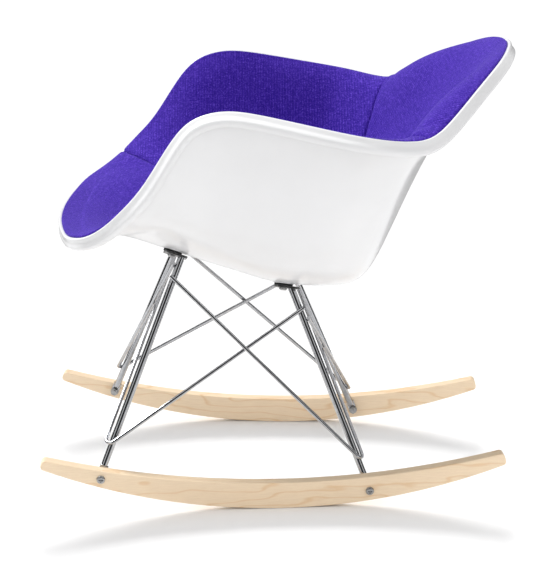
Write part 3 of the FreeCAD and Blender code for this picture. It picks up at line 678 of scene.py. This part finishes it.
def build_panel(name, top, bottom, normals, distance, relief, cells, fabric):
    """One stuffed panel: swollen face, closed by the face against the shell."""
    rows = top.shape[1]
    used, cells = compact(top, cells)
    face = top.reshape(-1, 3)[used]
    back = bottom.reshape(-1, 3)[used]
    push = normals.reshape(-1, 3)[used]
    beside_seam = distance.reshape(-1)[used][:, None]
    held = sorted({index for edge in border_edges(cells) for index in edge})
    held += [place for place, index in enumerate(used) if index % rows < CENTRE_ROWS]
    face = face + settle(name, sheet_mesh(name + "_flat", face, cells), held)
    groove = SEAM_DEPTH * np.exp(-beside_seam / SEAM_WIDTH)
    gathered = relief.reshape(-1)[used][:, None]
    face = face - push * groove + push * gathered
    count = len(face)
    faces = list(cells) + [tuple(index + count for index in reversed(cell)) for cell in cells]
    faces += [(stop, start, start + count, stop + count) for start, stop in border_edges(cells)]
    mesh = sheet_mesh(name, np.vstack([face, back]), faces)
    mesh.shade_smooth()
    layer = mesh.uv_layers.new(name="fabric")
    flat = fabric_coordinates(np.vstack([face, back]), "arm" in name)
    corners = np.zeros(len(mesh.loops), int)
    mesh.loops.foreach_get("vertex_index", corners)
    layer.data.foreach_set("uv", flat[corners].ravel())
    mesh.materials.append(fabric)
    panel = bpy.data.objects.new(name, mesh)
    bpy.context.scene.collection.objects.link(panel)
    return panel


def seam_distance(grid, seams, seam_row):
    """Distance to the nearest seam, in metres."""
    first, last, right_first, right_last = seams
    walls = [grid[column, seam_row:] for column in (first, last, right_first, right_last)]
    lows = [grid[first:last + 1, seam_row], grid[right_first:right_last + 1, seam_row]]
    return distance_to(grid, np.concatenate(walls + lows))


def puckers(grid, around, below_rim, distance):
    """Shallow gathers: beside the seams, and fanned over the padding at the rear corners."""
    station = station_of(around)[:, None]
    along = (np.abs(grid[..., 0]) + grid[..., 2]) / MM
    gathers = 0.35 * MM * np.sin(along * 0.62 + 2 * np.sin(along * 0.11))
    gathers = gathers * np.exp(-distance / (9 * MM)) * (1 - bump_at(below_rim, 0, 22 * MM))
    fan = np.sin((station - 16.2) * 9 + below_rim / MM * 0.05)
    near_corner = bump_at(station, 16.4, 0.75) * bump_at(below_rim, 17 * MM, 12 * MM)
    return gathers + 0.9 * MM * fan * near_corner


def make_liner():
    """Three stuffed panels in place of the plain foam and cover solids."""
    bucket = Bucket()
    around, seams = sample_around()
    levels, seam_row = sample_levels()
    outer_face = bucket.face(COVER_TOP, lambda up: TOP_LEAN * up)
    inner_face = bucket.face(FOAM_BOTTOM, lambda up: RIM_PINCH + BOTTOM_LEAN * up - LAYER_GAP)
    top = ease(evaluate(outer_face, around, levels), levels)
    bottom = evaluate(inner_face, around, levels)
    normals = grid_normals(top)
    roll, below_rim = edge_roll(top, around)
    top = top + normals * roll[..., None]
    normals = grid_normals(top)
    columns, rows = top.shape[:2]
    first, last, right_first, right_last = seams
    distance = seam_distance(top, seams, seam_row)
    relief = puckers(top, around, below_rim, distance)
    fabric = wool_fabric()

    def on_left(column, row):
        return row >= seam_row and first <= column < last

    def on_right(column, row):
        return row >= seam_row and right_first <= column < right_last

    def on_seat(column, row):
        return not (on_left(column, row) or on_right(column, row))

    for name, keep in (("arm_left", on_left), ("arm_right", on_right), ("seat_back", on_seat)):
        cells = panel_cells(columns, rows, keep)
        panel = build_panel("liner_" + name, top, bottom, normals, distance, relief, cells, fabric)
        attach(panel, "root")
        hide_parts("cover_" + name, "foam_" + name)


# ---------------------------------------------------------------- floor, light and camera

# Each light's name, direction of travel, strength and angle in degrees, and whether the floor is
# all that it lights or all that it leaves out.
LIGHTS = (
    ("overhead", (0.40, 0.70, -1.0), 3.5, 24, "EXCLUDE"),
    ("side_fill", (-1.0, 0.1, -0.35), 0.5, 60, "EXCLUDE"),
    ("back_fill", (-0.7, -1.0, -0.1), 0.5, 40, "EXCLUDE"),
    ("floor_fill", (0.0, 0.0, -1.0), 0.85, 120, "INCLUDE"),
    ("floor_light", (1.0, 0.02, -0.42), 4.3, 15, "INCLUDE"),
)
FLOOR_SIZE = 1.5
ROOM_LIGHT = (0.64, 0.64, 0.645, 1)
BACKDROP = (1.05, 1.05, 1.05, 1)
# The dark panels that reflections see, as shares of a turn, and their two greys.
PANEL_SPACING = 0.125
PANEL_EDGE = (0.072, 0.092)
PANEL_GREYS = (0.03, 1.0)

# The camera that the two runners in the photograph give: metres, and millimetres for the lens.
CAMERA_PLACE = (2.9504, -0.0814 + TOUCH_POINT_Y * MM, 1.0492)
CAMERA_SIGHT = (-0.96695, 0.02417, -0.25384)
LENS, SENSOR = 129.28, 36

def make_floor():
    """A pale paper floor, only as large as the chair's shadow needs."""
    bpy.ops.mesh.primitive_plane_add(size=FLOOR_SIZE, location=(0, 0, 0))
    floor = bpy.context.object
    floor.name = "studio_floor"
    n = Nodes("studio_paper")
    n.colour(n.ramp(n.noise(n.coordinates(), 3, 3), (0.3, 0.87), (0.7, 0.89)))
    n.constants(Roughness=0.95, Specular_IOR_Level=0.0)
    floor.data.materials.append(n.material)
    return floor


def sun(name, travel, strength, spread):
    """A sun lamp that shines along a direction; spread is its angle in degrees."""
    data = bpy.data.lights.new(name, "SUN")
    data.energy = strength
    data.angle = math.radians(spread)
    light = bpy.data.objects.new(name, data)
    light.rotation_euler = Vector(travel).to_track_quat("-Z", "Y").to_euler()
    bpy.context.scene.collection.objects.link(light)
    return light


def light_studio(floor):
    """Soft white room, three lights for the chair and two for the floor.

    The chair has a light overhead and two weak ones from its left and its rear.  The floor has a
    wide light from above and a low one from its right, whose shadow only the runners cast.
    Straight views see a white backdrop, and reflections see dark upright panels in it.
    """
    world = bpy.data.worlds.new("studio")
    bpy.context.scene.world = world
    world.use_nodes = True
    tree = world.node_tree
    background = tree.nodes["Background"]
    place = tree.nodes.new("ShaderNodeTexCoord")
    turn = tree.nodes.new("ShaderNodeTexGradient")
    turn.gradient_type = "RADIAL"
    stripes = tree.nodes.new("ShaderNodeMath")
    stripes.operation = "PINGPONG"
    stripes.inputs[1].default_value = PANEL_SPACING
    panels = tree.nodes.new("ShaderNodeValToRGB")
    for element, position, grey in zip(panels.color_ramp.elements, PANEL_EDGE, PANEL_GREYS):
        element.position = position
        element.color = (grey, grey, grey, 1)
    ray = tree.nodes.new("ShaderNodeLightPath")
    by_reflection = tree.nodes.new("ShaderNodeMix")
    by_reflection.data_type = "RGBA"
    by_reflection.inputs[MIX_FIRST].default_value = ROOM_LIGHT
    by_sight = tree.nodes.new("ShaderNodeMix")
    by_sight.data_type = "RGBA"
    by_sight.inputs[MIX_SECOND].default_value = BACKDROP
    for source, target in (
        (place.outputs["Generated"], turn.inputs["Vector"]),
        (turn.outputs["Fac"], stripes.inputs[0]),
        (stripes.outputs[0], panels.inputs["Fac"]),
        (ray.outputs["Is Glossy Ray"], by_reflection.inputs[MIX_FACTOR]),
        (panels.outputs["Color"], by_reflection.inputs[MIX_SECOND]),
        (ray.outputs["Is Camera Ray"], by_sight.inputs[MIX_FACTOR]),
        (by_reflection.outputs[MIX_COLOUR], by_sight.inputs[MIX_FIRST]),
        (by_sight.outputs[MIX_COLOUR], background.inputs["Color"]),
    ):
        tree.links.new(source, target)
    for name, travel, strength, spread, on_floor in LIGHTS:
        light = sun(name, travel, strength, spread)
        light.visible_glossy = name == "overhead"
        lit = bpy.data.collections.new("lit_by_" + name)
        lit.objects.link(floor)
        lit.collection_objects[0].light_linking.link_state = on_floor
        light.light_linking.receiver_collection = lit
    runners = bpy.data.collections.new("shadow_casters")
    for side in ("left", "right"):
        runners.objects.link(nodes["rocker_" + side])
    bpy.data.objects["floor_light"].light_linking.blocker_collection = runners


def place_camera():
    """A camera at the photograph's viewing angle."""
    data = bpy.data.cameras.new("camera")
    data.lens = LENS
    data.sensor_width = SENSOR
    data.clip_end = 200
    camera = bpy.data.objects.new("camera", data)
    camera.location = CAMERA_PLACE
    camera.rotation_euler = Vector(CAMERA_SIGHT).to_track_quat("-Z", "Y").to_euler()
    bpy.context.scene.collection.objects.link(camera)
    bpy.context.scene.camera = camera


finish_cad_nodes()
make_liner()
light_studio(make_floor())
place_camera()
bpy.context.scene.view_settings.view_transform = "Standard"
